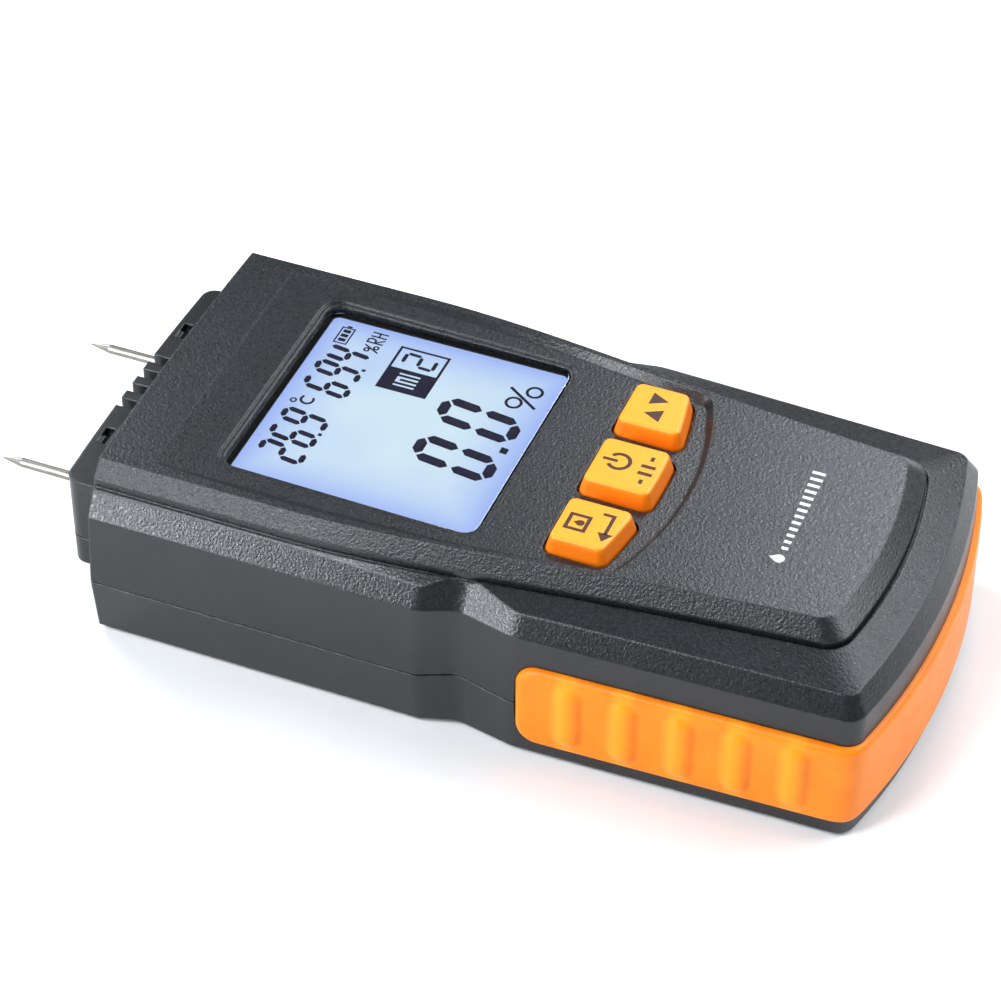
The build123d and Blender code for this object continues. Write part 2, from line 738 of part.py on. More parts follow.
with BuildPart() as pin_sockets:
    for side in (-1, 1):
        with BuildSketch(along_pin(side, 44.4)):
            Circle(2.1)
        extrude(amount=10.2)
        with BuildSketch(along_pin(side, pin_root_y)):
            Circle(pin_radius + 0.02)
        extrude(amount=12, mode=Mode.SUBTRACT)
keep(pin_sockets, "pin_sockets")

with BuildPart() as pin_carrier:
    with Locations((0, 46.8, pin_z)):
        Box(38.8, 8.0, 7.2, align=(Align.CENTER, Align.MIN, Align.CENTER))
    with Locations((0, 48.6, pin_z)):
        Box(19.6, 8.0, 10.0, align=(Align.CENTER, Align.MIN, Align.CENTER), mode=Mode.SUBTRACT)
    # notch through which the sensor's leads pass
    with Locations((0, 46.0, 13.6)):
        Box(7.0, 4.0, 6.0, align=(Align.CENTER, Align.MIN, Align.MIN), mode=Mode.SUBTRACT)
    for side in (-1, 1):
        with BuildSketch(along_pin(side, 40.0)):
            Circle(2.15)
        extrude(amount=20, mode=Mode.SUBTRACT)
keep(pin_carrier, "pin_carrier")

with BuildPart() as sensor_board:
    with Locations((0, 49.4, 13.2)):
        Box(17.6, 1.0, 10.4, align=(Align.CENTER, Align.MIN, Align.CENTER))
keep(sensor_board, "sensor_board")

# white humidity cell with its row of breathing slits towards the vents
with BuildPart() as humidity_sensor:
    with Locations((0, 50.4, 15.0)):
        Box(11.0, 3.0, 5.6, align=(Align.CENTER, Align.MIN, Align.CENTER))
    chamfer(humidity_sensor.faces().sort_by(Axis.Y)[-1].edges(), 0.4)
    for slit in range(5):
        with Locations(((slit - 2) * 1.8, 53.4, 15.0)):
            Box(0.8, 1.6, 3.4, mode=Mode.SUBTRACT)
keep(humidity_sensor, "humidity_sensor")

electrode_lead_pair = [
    lead([
        (side * pin_x, 44.4, pin_z),
        (side * pin_x, 40.0, pin_z),
        (side * 12.0, 34.0, 14.6),
        (side * 12.0, 34.0, board_low_z),
    ], 1.4)
    for side in (-1, 1)
]
with BuildPart() as electrode_leads:
    add(electrode_lead_pair)
keep(electrode_leads, "electrode_leads")

sensor_lead_row = [
    lead([(x, 49.4, 15.0), (x, 34.2, 15.0), (x, 34.2, board_low_z)], 1.5, 0.35)
    for x in (-1.95, -0.65, 0.65, 1.95)
]
with BuildPart() as sensor_leads:
    add(sensor_lead_row)
keep(sensor_leads, "sensor_leads")


# ================================================================ batteries
def across_bay(x, y):
    """A plane across the cells at a place along them, facing the electrodes."""
    return Plane(origin=(x, y, cell_z), x_dir=(1, 0, 0), z_dir=(0, 1, 0))


low_plate_y = bay_low_y + contact_thickness
high_plate_y = bay_high_y - contact_thickness
spring_length = high_plate_y - low_plate_y - cell_length - cell_nub_length
cell_rows = [(-cell_pitch, 1), (0.0, -1), (cell_pitch, 1)]      # place and the way the nub points


def make_cell(x, facing):
    """A penlight cell: can and contact nub."""
    flat_y = low_plate_y + spring_length if facing > 0 else high_plate_y - spring_length
    with BuildPart() as cell:
        with BuildSketch(across_bay(x, flat_y)):
            Circle(cell_radius)
        extrude(amount=facing * cell_length)
        chamfer(cell.edges().filter_by(GeomType.CIRCLE), 0.35)
        with BuildSketch(across_bay(x, flat_y + facing * cell_length)):
            Circle(1.9)
        extrude(amount=facing * cell_nub_length)
    return cell.part


def make_spring(x, facing):
    """A coil spring between a contact plate and a cell's flat end."""
    plate_y = low_plate_y if facing > 0 else high_plate_y
    height = spring_length - 2.2 * spring_wire
    with BuildPart() as spring:
        with BuildLine() as coil:
            Helix(
                pitch=height / spring_turns, height=height, radius=spring_radius,
                center=(x, plate_y + facing * 1.1 * spring_wire, cell_z), direction=(0, facing, 0),
            )
        with BuildSketch(Plane(origin=coil.line @ 0, z_dir=coil.line % 0)):
            Circle(spring_wire)
        sweep(path=coil.line, is_frenet=True)
    return spring.part


cells = [make_cell(x, facing) for x, facing in cell_rows]
with BuildPart() as battery_cells:
    add(cells)
keep(battery_cells, "battery_cells")

springs = [make_spring(x, facing) for x, facing in cell_rows]
with BuildPart() as battery_springs:
    add(springs)
keep(battery_springs, "battery_springs")

# each end has one single plate and one double plate that joins two neighbours
with BuildPart() as battery_contacts:
    for plate_y, single_x in ((bay_low_y, -cell_pitch), (high_plate_y, cell_pitch)):
        double_x = -single_x / 2
        for x, width in ((single_x, 8.6), (double_x, 8.6 + cell_pitch)):
            with Locations((x, plate_y, 8.3)):
                Box(width, contact_thickness, 8.2, align=(Align.CENTER, Align.MIN, Align.CENTER))
keep(battery_contacts, "battery_contacts")

short_lead = lead([
    (cell_pitch, bay_high_y + tray_wall, 11.0),
    (cell_pitch, bay_high_y + 5.0, 11.0),
    (cell_pitch, bay_high_y + 5.0, board_low_z),
], 1.5)
long_lead = lead([
    (-cell_pitch, bay_low_y - tray_wall, 11.0),
    (-cell_pitch, bay_low_y - 3.2, 11.0),
    (-cell_pitch, bay_low_y - 3.2, 15.9),
    (-cell_pitch, board_low_y + 4.0, 15.9),
    (-cell_pitch, board_low_y + 4.0, board_low_z),
], [0.8, 0.8, 1.2])
with BuildPart() as battery_leads:
    add([short_lead, long_lead])
keep(battery_leads, "battery_leads")

# cover with a latch finger at the display side and two tabs that hook behind the end wall
cover_low_y = bay_low_y + cover_gap
cover_high_y = bay_high_y - cover_gap
cover_half = bay_half - cover_gap
with BuildPart() as battery_cover:
    with BuildSketch(Plane.XY.offset(cover_lift)):
        with Locations((0, (cover_low_y + cover_high_y) / 2)):
            RectangleRounded(2 * cover_half, cover_high_y - cover_low_y, 1.0)
    extrude(amount=cover_thickness)
    # slits that free the latch finger
    with BuildSketch(Plane.XY.offset(cover_lift)):
        with Locations((-5.2, cover_high_y - 4.0), (5.2, cover_high_y - 4.0)):
            Rectangle(0.8, 8.2)
    extrude(amount=cover_thickness, mode=Mode.SUBTRACT)
    # grip lines across the outer face
    for line in range(5):
        with Locations((0, cover_high_y - 3.0 - line * 1.6, cover_lift)):
            Box(7.0, 0.7, 0.6, mode=Mode.SUBTRACT)
    for side in (-1, 1):
        with Locations((side * 9.0, cover_low_y, cover_lift + cover_thickness - 0.4)):
            Box(5.0, 1.5, 1.4, align=(Align.CENTER, Align.MIN, Align.MIN))
        with Locations((side * 9.0, bay_low_y - 1.6, 2.25)):
            Box(5.0, 2.6, 0.75, align=(Align.CENTER, Align.MIN, Align.MIN))
keep(battery_cover, "battery_cover")


# ================================================================ fasteners and plate
with BuildPart() as case_screw_set:
    with BuildSketch(Plane.XY.offset(2.6)):
        with Locations(*case_screws):
            Circle(screw_head_radius)
    extrude(amount=1.8)
    with BuildSketch(Plane.XY.offset(4.4)):
        with Locations(*case_screws):
            Circle(screw_radius)
    extrude(amount=13.0)
    for x, y in case_screws:
        for turn in (0, 90):
            with Locations((x, y, 2.6)):
                Box(3.0, cross_slot, 2.0, rotation=(0, 0, turn), mode=Mode.SUBTRACT)
keep(case_screw_set, "case_screws")

with BuildPart() as board_screw_set:
    with BuildSketch(Plane.XY.offset(board_low_z)):
        with Locations(*board_screws):
            Circle(1.6)
    extrude(amount=-1.0)
    with BuildSketch(Plane.XY.offset(board_low_z)):
        with Locations(*board_screws):
            Circle(0.8)
    extrude(amount=board_thickness + 4.0)
    for x, y in board_screws:
        for turn in (0, 90):
            with Locations((x, y, board_low_z - 1.0)):
                Box(2.0, cross_slot * 0.6, 0.9, rotation=(0, 0, turn), mode=Mode.SUBTRACT)
keep(board_screw_set, "board_screws")

with BuildPart() as rating_plate:
    with BuildSketch(Plane.XY.offset(0.1)):
        with Locations((0, rating_plate_y)):
            RectangleRounded(40.0, 26.0, 2.0)
    extrude(amount=0.2)
keep(rating_plate, "rating_plate")
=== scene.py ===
"""Looks of the moisture meter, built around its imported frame. Lengths are in metres unless a name says mm."""

import bisect
import json
import math

import bmesh
import bpy
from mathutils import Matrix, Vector


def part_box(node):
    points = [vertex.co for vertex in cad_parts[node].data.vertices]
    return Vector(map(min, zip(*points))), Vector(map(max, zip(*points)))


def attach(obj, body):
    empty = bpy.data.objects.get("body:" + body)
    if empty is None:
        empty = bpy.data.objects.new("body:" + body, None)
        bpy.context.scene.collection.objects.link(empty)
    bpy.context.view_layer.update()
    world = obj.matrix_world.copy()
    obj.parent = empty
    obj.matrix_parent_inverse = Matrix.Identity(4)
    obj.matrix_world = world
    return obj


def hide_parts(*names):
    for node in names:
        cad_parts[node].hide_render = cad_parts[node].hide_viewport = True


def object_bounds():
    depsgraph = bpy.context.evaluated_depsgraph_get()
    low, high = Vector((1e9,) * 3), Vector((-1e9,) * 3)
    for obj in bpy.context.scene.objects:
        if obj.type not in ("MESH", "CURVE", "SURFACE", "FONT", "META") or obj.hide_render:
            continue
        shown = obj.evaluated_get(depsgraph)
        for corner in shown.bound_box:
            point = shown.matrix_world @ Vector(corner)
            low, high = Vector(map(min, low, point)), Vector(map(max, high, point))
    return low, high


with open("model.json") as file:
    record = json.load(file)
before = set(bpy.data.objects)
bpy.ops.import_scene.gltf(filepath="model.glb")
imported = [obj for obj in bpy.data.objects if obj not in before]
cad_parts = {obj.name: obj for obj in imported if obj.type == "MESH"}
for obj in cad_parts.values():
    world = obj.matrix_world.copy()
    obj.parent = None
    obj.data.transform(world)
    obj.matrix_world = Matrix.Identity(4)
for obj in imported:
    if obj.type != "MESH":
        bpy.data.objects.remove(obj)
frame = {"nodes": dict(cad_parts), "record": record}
cad_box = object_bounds()
nodes = frame["nodes"]

MM = 0.001
HOUSING = "housing"
VIEW_SIZE = 38.6 * MM  # side of the display's lit square
GRAIN_LOW, GRAIN_HIGH = 22.2 * MM, 23.2 * MM  # the moulded grain fades in between these heights
FLOOR_GAP = 0.02 * MM  # keeps the meter's flat back clear of the floor's face
PRINT_LIFT = 0.01  # how far a print stands off the face under it, in millimetres
KEY_PRINT_LIFT = 0.005
COVER_PRINT_LIFT = 0.02
# the ribs on each side of the grip, in millimetres
RIB_COUNT, FIRST_RIB_Y, RIB_PITCH = 5, -26.4, 8.4
MIDDLE_RIB_Y = FIRST_RIB_Y - RIB_PITCH * (RIB_COUNT - 1) / 2


# ---------------------------------------------------------------- materials
class Paint:
    """A node material built step by step around one Principled shader.

    All its textures run in object space, so they are as large as they are on the real thing.
    """

    def __init__(self, name, color, roughness, **sockets):
        self.material = bpy.data.materials.new(name)
        self.material.use_nodes = True
        self.tree = self.material.node_tree
        self.shader = self.tree.nodes["Principled BSDF"]
        self.shader.inputs["Base Color"].default_value = (*color, 1)
        self.shader.inputs["Roughness"].default_value = roughness
        for socket, value in sockets.items():
            self.shader.inputs[socket.replace("_", " ")].default_value = value
        self.place = self.add("ShaderNodeTexCoord").outputs["Object"]
        self.normal = None

    def add(self, kind, **settings):
        node = self.tree.nodes.new(kind)
        for key, value in settings.items():
            setattr(node, key, value)
        return node

    def feed(self, socket, source):
        """Plug a value or another node's output into a socket."""
        if isinstance(source, bpy.types.NodeSocket):
            self.tree.links.new(source, socket)
        elif isinstance(source, tuple) and len(source) == 3 and socket.type == "RGBA":
            socket.default_value = (*source, 1)
        else:
            socket.default_value = source

    def noise(self, size, detail=2.0, rough=0.5, stretch=(1, 1, 1)):
        """Noise whose blotches are about `size` metres across."""
        mapping = self.add("ShaderNodeMapping")
        mapping.inputs["Scale"].default_value = stretch
        self.feed(mapping.inputs["Vector"], self.place)
        node = self.add("ShaderNodeTexNoise")
        self.feed(node.inputs["Vector"], mapping.outputs[0])
        node.inputs["Scale"].default_value = 1.0 / size
        node.inputs["Detail"].default_value = detail
        node.inputs["Roughness"].default_value = rough
        return node.outputs["Fac"]

    def ramp(self, source, low, high, to_low=0.0, to_high=1.0):
        """Map a value from one range to another, clamped."""
        node = self.add("ShaderNodeMapRange")
        values = {"Value": source, "From Min": low, "From Max": high, "To Min": to_low, "To Max": to_high}
        for socket, value in values.items():
            self.feed(node.inputs[socket], value)
        return node.outputs[0]

    def math(self, operation, first, second=0.0):
        """The result of one arithmetic step."""
        node = self.add("ShaderNodeMath", operation=operation)
        self.feed(node.inputs[0], first)
        self.feed(node.inputs[1], second)
        return node.outputs[0]

    def mix(self, factor, first, second):
        """A colour between two others."""
        node = self.add("ShaderNodeMix", data_type="RGBA")
        self.feed(node.inputs["Factor"], factor)
        self.feed(node.inputs["A"], first)
        self.feed(node.inputs["B"], second)
        return node.outputs["Result"]

    def axis(self, name):
        """One coordinate in object space."""
        node = self.add("ShaderNodeSeparateXYZ")
        self.feed(node.inputs[0], self.place)
        return node.outputs[name]

    def bump(self, source, depth, strength=1.0):
        """Add a relief of this depth in metres on top of the ones already there."""
        node = self.add("ShaderNodeBump")
        self.feed(node.inputs["Strength"], strength)
        node.inputs["Distance"].default_value = depth
        self.feed(node.inputs["Height"], source)
        if self.normal is not None:
            self.feed(node.inputs["Normal"], self.normal)
        self.normal = node.outputs["Normal"]
        self.feed(self.shader.inputs["Normal"], self.normal)

    def round_edges(self, radius):
        """Start the relief from normals that are rounded over the sharp edges, as moulding leaves them."""
        node = self.add("ShaderNodeBevel", samples=6)
        node.inputs["Radius"].default_value = radius
        self.normal = self.rounded = node.outputs["Normal"]
        self.feed(self.shader.inputs["Normal"], self.normal)

    def edge_mask(self):
        """1 on rounded edges, 0 on flat faces."""
        geometry = self.add("ShaderNodeNewGeometry")
        dot = self.add("ShaderNodeVectorMath", operation="DOT_PRODUCT")
        self.feed(dot.inputs[0], self.rounded)
        self.feed(dot.inputs[1], geometry.outputs["Normal"])
        return self.ramp(dot.outputs["Value"], 0.995, 0.93, 0.0, 1.0)

    def color(self, source):
        self.feed(self.shader.inputs["Base Color"], source)

    def roughness(self, source):
        self.feed(self.shader.inputs["Roughness"], source)


def shell_plastic():
    """Charcoal ABS: moulded pebble grain on the upper faces, a finer satin on the side walls, and painted
    highlights in patches on the rounded edges.
    """
    paint = Paint("shell_plastic", (0.02, 0.021, 0.024), 0.45, Specular_IOR_Level=0.5)
    paint.round_edges(0.45 * MM)
    height = paint.axis("Z")
    grained = paint.ramp(height, GRAIN_LOW, GRAIN_HIGH)
    pebbles = paint.noise(0.42 * MM, 2.0, 0.5)
    speckle = paint.noise(0.22 * MM, 3.0, 0.6)
    cloud = paint.noise(9 * MM, 2.0)
    base = paint.mix(paint.ramp(cloud, 0.3, 0.7), (0.007, 0.0077, 0.0093), (0.0105, 0.0115, 0.0138))
    flecks = paint.math("MULTIPLY", paint.ramp(speckle, 0.5, 0.72), grained)
    grain_color = paint.mix(flecks, base, (0.03, 0.032, 0.036))
    # painted highlight: patches along the rounded edges are painted a paler grey, standing in for light
    # catching the edges
    edge_highlight = paint.math("MULTIPLY", paint.edge_mask(), paint.ramp(paint.noise(1.2 * MM, 4.0, 0.65), 0.42, 0.62))
    paint.color(paint.mix(paint.math("MULTIPLY", edge_highlight, 0.55), grain_color, (0.075, 0.077, 0.082)))
    rough = paint.ramp(paint.noise(0.6 * MM, 3.0), 0.3, 0.7, 0.25, 0.36)
    satin = paint.ramp(paint.noise(4 * MM, 4.0, 0.6), 0.3, 0.7, 0.27, 0.36)
    paint.roughness(paint.mix(grained, satin, rough))
    paint.bump(pebbles, 0.08 * MM, paint.ramp(grained, 0, 1, 0.03, 0.8))
    paint.bump(speckle, 0.05 * MM, paint.ramp(grained, 0, 1, 0.03, 0.18))
    return paint.material


def grip_rubber():
    """Orange overmoulded elastomer with a painted highlight that makes the crowns of its ribs paler, and a
    faint matt bloom.
    """
    paint = Paint("grip_rubber", (0.95, 0.24, 0.004), 0.4, Specular_IOR_Level=0.3)
    cloud = paint.noise(6 * MM, 3.0)
    from_first = paint.math("ADD", paint.axis("Y"), -FIRST_RIB_Y * MM)
    from_middle = paint.math("ABSOLUTE", paint.math("ADD", paint.axis("Y"), -MIDDLE_RIB_Y * MM))
    wave = paint.math("COSINE", paint.math("MULTIPLY", from_first, math.tau / (RIB_PITCH * MM)))
    crown = paint.ramp(wave, 0.1, 0.9)
    in_row = paint.math("LESS_THAN", from_middle, (RIB_COUNT / 2 + 0.1) * RIB_PITCH * MM)
    on_side = paint.math("GREATER_THAN", paint.math("ABSOLUTE", paint.axis("X")), 29 * MM)
    # painted highlight: the crowns of the side ribs are painted paler and yellower, so the valleys between them
    # read as shade
    crown_highlight = paint.math("MULTIPLY", crown, paint.math("MULTIPLY", in_row, on_side))
    plain = paint.mix(paint.ramp(cloud, 0.35, 0.65), (0.9, 0.21, 0.002), (0.96, 0.245, 0.004))
    body = paint.mix(crown_highlight, plain, (1.0, 0.3, 0.006))
    handled = paint.ramp(paint.noise(1.1 * MM, 4.0, 0.6, (1, 1, 0.35)), 0.55, 0.78, 0.0, 0.35)
    paint.color(paint.mix(handled, body, (0.8, 0.17, 0.006)))
    paint.roughness(paint.ramp(paint.noise(1.5 * MM, 2.0), 0.3, 0.7, 0.34, 0.46))
    paint.bump(paint.noise(0.25 * MM, 2.0), 0.02 * MM, 0.25)
    return paint.material


def key_plastic():
    """Key caps: a painted highlight makes the top face a lighter yellow-orange than the flanks."""
    paint = Paint("key_plastic", (1.0, 0.33, 0.01), 0.38)
    paint.round_edges(0.35 * MM)
    # painted highlight: above this height the key is painted the lighter top colour and below it the darker
    # flank colour, as the light falls on them
    top = paint.ramp(paint.axis("Z"), 30.3 * MM, 31.15 * MM)
    finger = paint.ramp(paint.noise(2.2 * MM, 3.0), 0.4, 0.75, 0.0, 0.3)
    face = paint.mix(finger, (1.0, 0.32, 0.008), (0.95, 0.265, 0.005))
    paint.color(paint.mix(top, (0.95, 0.2, 0.002), face))
    paint.roughness(paint.ramp(paint.noise(0.8 * MM, 3.0), 0.3, 0.7, 0.32, 0.44))
    paint.bump(paint.noise(0.3 * MM, 2.0), 0.02 * MM, 0.2)
    return paint.material


def clear_plastic():
    """The lens: polished, with faint rub marks that only dull it in places."""
    paint = Paint("clear_plastic", (0.96, 0.98, 1.0), 0.03, Transmission_Weight=1.0, IOR=1.49)
    paint.roughness(paint.ramp(paint.noise(2 * MM, 4.0), 0.5, 0.85, 0.01, 0.05))
    return paint.material


def lcd_face():
    """The lit display: pale blue-white in the middle, lavender-blue towards the rim."""
    low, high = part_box("lcd_panel")
    centre = (low + high) / 2
    half = VIEW_SIZE / 2
    paint = Paint("lcd_face", (0.02, 0.025, 0.04), 0.25)
    separate = paint.add("ShaderNodeSeparateXYZ")
    paint.feed(separate.inputs[0], paint.place)
    across = paint.math("ABSOLUTE", paint.math("SUBTRACT", separate.outputs["X"], centre.x))
    along = paint.math("ABSOLUTE", paint.math("SUBTRACT", separate.outputs["Y"], centre.y))
    spread = paint.math("MAXIMUM", across, along)
    rim = paint.math("POWER", paint.ramp(spread, half * 0.35, half * 0.98), 2.0)
    patch = paint.ramp(paint.noise(18 * MM, 1.0), 0.4, 0.7, 0.0, 0.45)
    glow = paint.mix(paint.math("MAXIMUM", rim, patch), (0.72, 0.9, 1.0), (0.4, 0.54, 1.0))
    paint.feed(paint.shader.inputs["Emission Color"], glow)
    paint.shader.inputs["Emission Strength"].default_value = 0.95
    paint.bump(paint.noise(0.5 * MM, 2.0), 0.005 * MM, 0.2)
    return paint.material


def cell_jacket():
    """A penlight cell's sleeve: graphite, a copper-coloured band towards the nub, bare metal ends."""
    low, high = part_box("battery_cells")
    middle = (low.y + high.y) / 2
    paint = Paint("cell_jacket", (0.05, 0.06, 0.08), 0.28)
    outer = paint.math("GREATER_THAN", paint.math("ABSOLUTE", paint.axis("X")), 5.6 * MM)
    way = paint.math("SUBTRACT", paint.math("MULTIPLY", outer, 2.0), 1.0)
    along = paint.math("MULTIPLY", paint.math("SUBTRACT", paint.axis("Y"), middle), way)
    band = paint.ramp(along, 11.0 * MM, 11.1 * MM)
    scuff = paint.ramp(paint.noise(1.5 * MM, 4.0, 0.6, (1, 0.3, 1)), 0.55, 0.75, 0.0, 0.4)
    sleeve = paint.mix(band, (0.03, 0.035, 0.045), (0.75, 0.3, 0.1))
    bare = paint.ramp(paint.math("ABSOLUTE", along), 22.4 * MM, 22.5 * MM)
    paint.color(paint.mix(bare, paint.mix(scuff, sleeve, (0.2, 0.18, 0.16)), (0.7, 0.7, 0.68)))
    paint.feed(paint.shader.inputs["Metallic"], bare)
    paint.roughness(paint.ramp(paint.noise(0.9 * MM, 3.0), 0.3, 0.7, 0.2, 0.36))
    return paint.material


def circuit_board():
    """Green solder mask over faint copper tracks."""
    paint = Paint("circuit_board", (0.01, 0.12, 0.04), 0.3)
    tracks = paint.add("ShaderNodeTexBrick", offset=0.35)
    paint.feed(tracks.inputs["Vector"], paint.place)
    tracks.inputs["Scale"].default_value = 1 / (9 * MM)
    tracks.inputs["Mortar Size"].default_value = 0.035
    paint.color(paint.mix(tracks.outputs["Fac"], (0.008, 0.1, 0.035), (0.03, 0.2, 0.06)))
    paint.roughness(paint.ramp(paint.noise(1.2 * MM, 3.0), 0.3, 0.7, 0.24, 0.36))
    paint.bump(tracks.outputs["Fac"], 0.03 * MM, 0.6)
    return paint.material


def pin_steel():
    """Ground needle steel: fine turning marks round the shank, a few scratches along it."""
    paint = Paint("pin_steel", (0.27, 0.255, 0.235), 0.3, Metallic=1.0, Anisotropic=0.3)
    rings = paint.noise(0.12 * MM, 2.0, 0.5, (0.05, 1, 0.05))
    scratches = paint.noise(0.3 * MM, 3.0, 0.6, (1, 0.04, 1))
    stain = paint.ramp(paint.noise(2.5 * MM, 4.0, 0.6), 0.45, 0.75, 0.0, 0.5)
    paint.color(paint.mix(stain, (0.27, 0.255, 0.235), (0.17, 0.155, 0.13)))
    paint.roughness(paint.ramp(scratches, 0.3, 0.7, 0.26, 0.4))
    paint.bump(rings, 0.006 * MM, 0.4)
    return paint.material


def simple(name, color, roughness, grain=0.3, other=None, depth=0.02, rounding=0.0, **sockets):
    """A material with a little cloud in its colour and a fine relief."""
    paint = Paint(name, color, roughness, **sockets)
    if rounding:
        paint.round_edges(rounding * MM)
    shade = other or tuple(channel * 0.8 for channel in color)
    paint.color(paint.mix(paint.ramp(paint.noise(grain * 8 * MM, 3.0), 0.35, 0.65), color, shade))
    sheen = paint.noise(grain * 3 * MM, 2.0)
    paint.roughness(paint.ramp(sheen, 0.3, 0.7, roughness * 0.85, min(1.0, roughness * 1.15)))
    paint.bump(paint.noise(grain * MM, 2.0), depth * MM, 0.3)
    return paint.material


materials = {
    "shell_plastic": shell_plastic(),
    "grip_rubber": grip_rubber(),
    "key_plastic": key_plastic(),
    "clear_plastic": clear_plastic(),
    "lcd_glass": lcd_face(),
    "foam": simple("foam", (0.016, 0.015, 0.009), 0.7, 0.2),
    "diffuser": simple("diffuser", (0.8, 0.86, 1.0), 0.4),
    "inner_plastic": simple("inner_plastic", (0.02, 0.02, 0.018), 0.5, rounding=0.15),
    "zebra_rubber": simple("zebra_rubber", (0.6, 0.2, 0.25), 0.6),
    "circuit_board": circuit_board(),
    "chip": simple("chip", (0.012, 0.012, 0.014), 0.45),
    "capacitor_can": simple("capacitor_can", (0.03, 0.04, 0.12), 0.3),
    "bright_metal": simple("bright_metal", (0.7, 0.7, 0.7), 0.25, Metallic=1.0),
    "steel": pin_steel(),
    "brass": simple("brass", (0.7, 0.5, 0.2), 0.25, Metallic=1.0),
    "nickel": simple("nickel", (0.65, 0.63, 0.6), 0.25, Metallic=1.0),
    "sensor_white": simple("sensor_white", (0.5, 0.5, 0.48), 0.5),
    "wire_jacket": simple("wire_jacket", (0.5, 0.02, 0.02), 0.35),
    "cell_jacket": cell_jacket(),
    "screw_steel": simple("screw_steel", (0.05, 0.05, 0.055), 0.35, Metallic=1.0),
    "plate": simple("plate", (0.3, 0.31, 0.32), 0.32, 0.5, (0.26, 0.27, 0.28)),
}
white_ink = simple("white_ink", (0.62, 0.62, 0.62), 0.5, 0.15, (0.5, 0.5, 0.5))
key_ink = simple("key_ink", (0.03, 0.006, 0.002), 0.45, 0.15, (0.05, 0.011, 0.003))
plate_ink = simple("plate_ink", (0.02, 0.02, 0.022), 0.45, 0.15)
segment_ink = simple("segment_ink", (0.002, 0.001, 0.02), 0.5, 0.2, (0.004, 0.002, 0.035),
                     Specular_IOR_Level=0.1)

slots = {entry["node"]: entry["material_slot"] for entry in frame["record"]["subparts"]}
for node_name, node in nodes.items():
    node.data.materials.clear()
    node.data.materials.append(materials[slots[node_name]])


# ---------------------------------------------------------------- printed marks
class Marks:
    """Flat marks of one ink on one plane, drawn in millimetres. `facing` is +1 for up and -1 for down."""

    def __init__(self, name, z_mm, ink, body, facing=1):
        self.name, self.z, self.ink, self.body, self.facing = name, z_mm, ink, body, facing
        self.mesh = bmesh.new()

    def polygon(self, points):
        """One filled outline, turned to face the way this print faces."""
        corners = [self.mesh.verts.new((x, y, self.z)) for x, y in points]
        face = self.mesh.faces.new(corners)
        face.normal_update()
        if face.normal.z * self.facing < 0:
            face.normal_flip()

    def stroke(self, points, width, closed=False):
        """A line of constant width with mitred joints."""
        line = [Vector(point) for point in points]
        count = len(line)
        left, right = [], []
        for index, point in enumerate(line):
            before = line[index - 1] if closed or index else None
            after = line[(index + 1) % count] if closed or index < count - 1 else None
            ways = [(point - before).normalized()] if before is not None else []
            ways += [(after - point).normalized()] if after is not None else []
            mean = sum(ways, Vector((0, 0))).normalized()
            side = Vector((-mean.y, mean.x)) * (width / 2 / max(0.5, mean.dot(ways[0])))
            left.append(point + side)
            right.append(point - side)
        for index in range(count if closed else count - 1):
            following = (index + 1) % count
            self.polygon([left[index], left[following], right[following], right[index]])

    def arc(self, centre, radius, width, start=0.0, end=360.0):
        """A ring, or part of one between two angles in degrees."""
        whole = abs(end - start) >= 360
        steps = 32
        angles = [math.radians(start + (end - start) * step / steps) for step in range(steps + (not whole))]
        points = [(centre[0] + radius * math.cos(t), centre[1] + radius * math.sin(t)) for t in angles]
        self.stroke(points, width, whole)

    def box(self, left, low, right, high):
        self.polygon([(left, low), (right, low), (right, high), (left, high)])

    def droplet(self, centre, radius):
        """A drop with its point up, 2.7 radii tall."""
        angles = [math.radians(150 + 240 * step / 20) for step in range(21)]
        belly = [(centre[0] + radius * math.cos(t), centre[1] + radius * math.sin(t)) for t in angles]
        self.polygon(belly + [(centre[0], centre[1] + 1.75 * radius)])

    def digit(self, number, left, low, width, height, weight, slant):
        """One seven-segment figure, leaning to the right."""
        gap = weight * 0.16
        half = weight / 2
        middle = height / 2

        def lean(points):
            return [(left + x + slant * y, low + y) for x, y in points]

        def level(y):
            a, b = half + gap, width - half - gap
            upper = [(a, y), (a + half, y + half), (b - half, y + half)]
            return upper + [(b, y), (b - half, y - half), (a + half, y - half)]

        def upright(x, low_end, high_end):
            a, b = low_end + gap, high_end - gap
            right = [(x, a), (x + half, a + half), (x + half, b - half)]
            return right + [(x, b), (x - half, b - half), (x - half, a + half)]

        segments = {
            "a": level(height - half), "g": level(middle), "d": level(half),
            "f": upright(half, middle, height - half), "b": upright(width - half, middle, height - half),
            "e": upright(half, half, middle), "c": upright(width - half, half, middle),
        }
        lit = {"0": "abcdef", "2": "abged", "4": "fgbc", "6": "afgedc", "9": "abcdfg"}[number]
        for name in lit:
            self.polygon(lean(segments[name]))

    def figures(self, numbers, left, pitch, low, width, height, weight, slant):
        """A row of seven-segment figures."""
        for place, number in enumerate(numbers):
            self.digit(number, left + pitch * place, low, width, height, weight, slant)

    def percent(self, left, low, width, height, weight):
        """A small percent sign."""
        ring = width * 0.2
        self.arc((left + ring + weight / 2, low + height - ring - weight), ring, weight)
        self.arc((left + width - ring - weight / 2, low + ring + weight), ring, weight)
        self.stroke([(left + width * 0.12, low), (left + width * 0.88, low + height)], weight)

    def done(self):
        """Turn the marks into a piece that rides on its body."""
        data = bpy.data.meshes.new(self.name)
        bmesh.ops.scale(self.mesh, vec=(MM, MM, MM), verts=self.mesh.verts)
        self.mesh.to_mesh(data)
        self.mesh.free()
        data.materials.append(self.ink)
        piece = bpy.data.objects.new(self.name, data)
        bpy.context.scene.collection.objects.link(piece)
        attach(piece, self.body)


